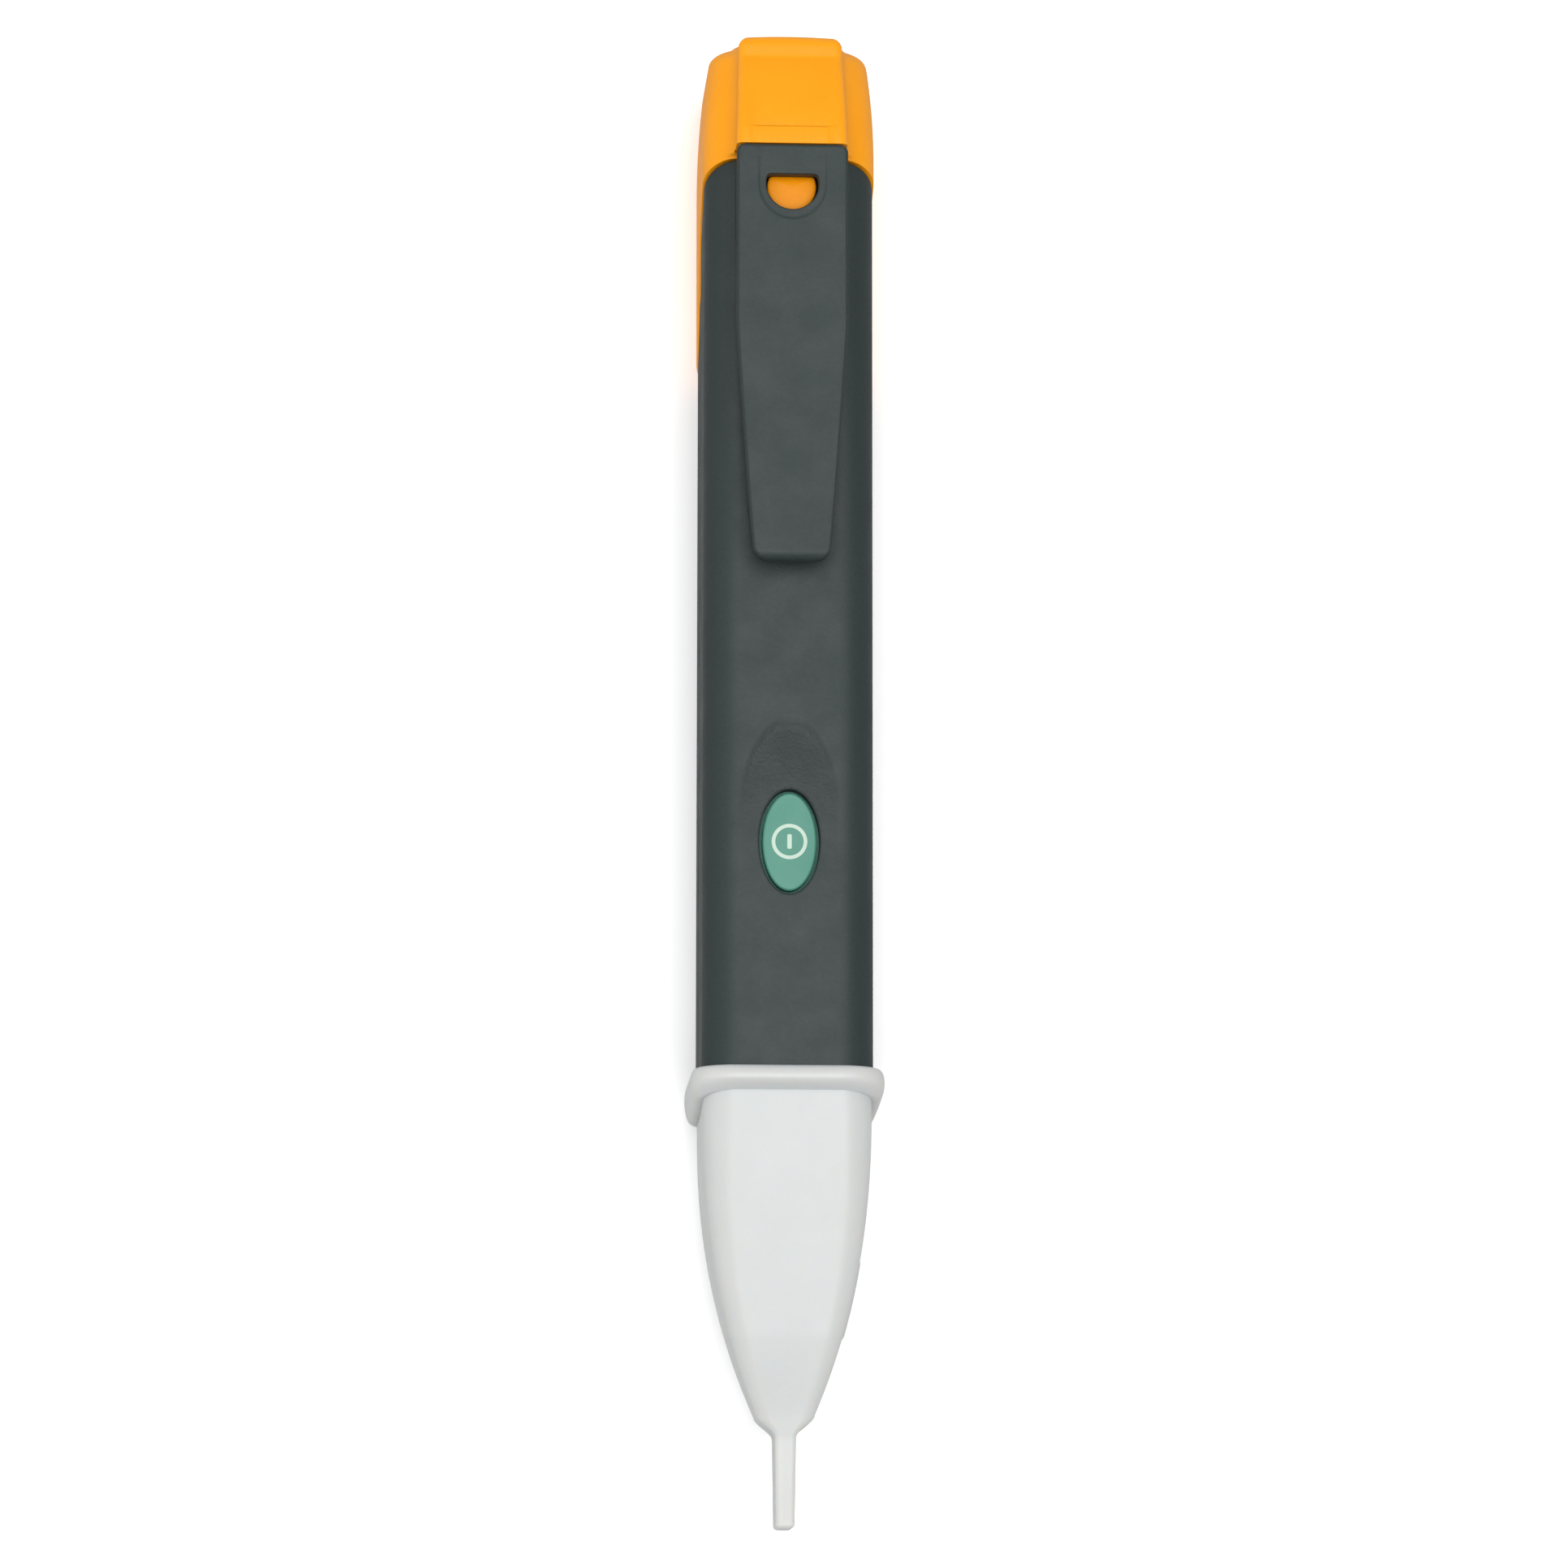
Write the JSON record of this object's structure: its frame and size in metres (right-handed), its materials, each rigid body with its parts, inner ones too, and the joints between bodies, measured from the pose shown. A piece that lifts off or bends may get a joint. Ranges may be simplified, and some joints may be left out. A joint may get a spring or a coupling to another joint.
{
  "type": "non contact voltage tester",
  "caption": "Pen-shaped non contact voltage tester with a white sensing tip, oval power button, pocket clip and pull-off end cap over its battery neck.",
  "frame": {"origin": "under the middle of the pen, on the surface that its back lies on", "axes": "+Y from the probe tip to the end cap, +Z from the back to the pocket clip, +X across the pen"},
  "size_m": [0.019, 0.148, 0.025],
  "materials": {
    "dark_shell": "fine moulded grain, satin",
    "white_tip": "translucent white, soft gloss",
    "yellow_cap": "fine moulded grain, satin",
    "yellow_tab": "smooth satin",
    "button_green": "smooth satin elastomer",
    "icon_print": "pad printed ink",
    "seal_rubber": "matte",
    "inner_plastic": "plain moulded",
    "board_green": "solder mask",
    "chip_black": "moulded resin",
    "capacitor_tan": "ceramic",
    "brass_disc": "rolled",
    "led_red": "tinted clear",
    "plated_metal": "nickel plated",
    "copper_strip": "rolled copper",
    "plunger_brown": "moulded",
    "cell_jacket": "printed jacket"
  },
  "bodies": {
    "housing": {"front_cover": "dark_shell", "rear_cover": "dark_shell", "probe_tip": "white_tip", "tip_gasket": "seal_rubber", "battery_sleeve": "inner_plastic", "circuit_board": "board_green", "processor_chip": "chip_black", "amplifier_chip": "chip_black", "transistor": "chip_black", "resistors": "chip_black", "capacitors": "capacitor_tan", "buzzer_case": "chip_black", "buzzer_disc": "brass_disc", "indicator_led": "led_red", "led_leads": "plated_metal", "sense_antenna": "copper_strip", "switch_base": "chip_black", "switch_cover": "plated_metal", "button_seal": "seal_rubber", "battery_near_tip": "cell_jacket", "battery_near_cap": "cell_jacket", "tip_contact": "plated_metal", "contact_carrier": "inner_plastic", "return_strip": "plated_metal", "clip_root": "dark_shell", "neck_seal": "seal_rubber"},
    "button": {"power_button": "button_green", "button_icon": "icon_print"},
    "plunger": {"switch_plunger": "plunger_brown"},
    "clip": {"clip_arm": "dark_shell"},
    "cap": {"end_cap": "yellow_cap", "cap_contact": "plated_metal", "cap_spring": "plated_metal"},
    "tab": {"release_tab": "yellow_tab"}
  },
  "joints": [
    {"name": "button_press", "type": "slide", "parent": "housing", "child": "button", "axis": [0, 0, -1], "range_m": [0, 0.0004], "stiffness_N_per_m": 4000},
    {"name": "plunger_press", "type": "slide", "parent": "housing", "child": "plunger", "axis": [0, 0, -1], "range_m": [0, 0.00025]},
    {"name": "clip_flex", "type": "hinge", "parent": "housing", "child": "clip", "pos_m": [0, 0.0515, 0.025], "axis": [-1, 0, 0], "range_deg": [0, 6], "stiffness_Nm_per_rad": 3},
    {"name": "cap_pull", "type": "slide", "parent": "housing", "child": "cap", "axis": [0, 1, 0], "range_m": [0, 0.032]},
    {"name": "tab_press", "type": "slide", "parent": "cap", "child": "tab", "axis": [0, 0, -1], "range_m": [0, 0.0008], "stiffness_N_per_m": 3000}
  ],
  "couplings": [
    {"joint": "plunger_press", "follows": "button_press", "ratio": 0.625}
  ]
}
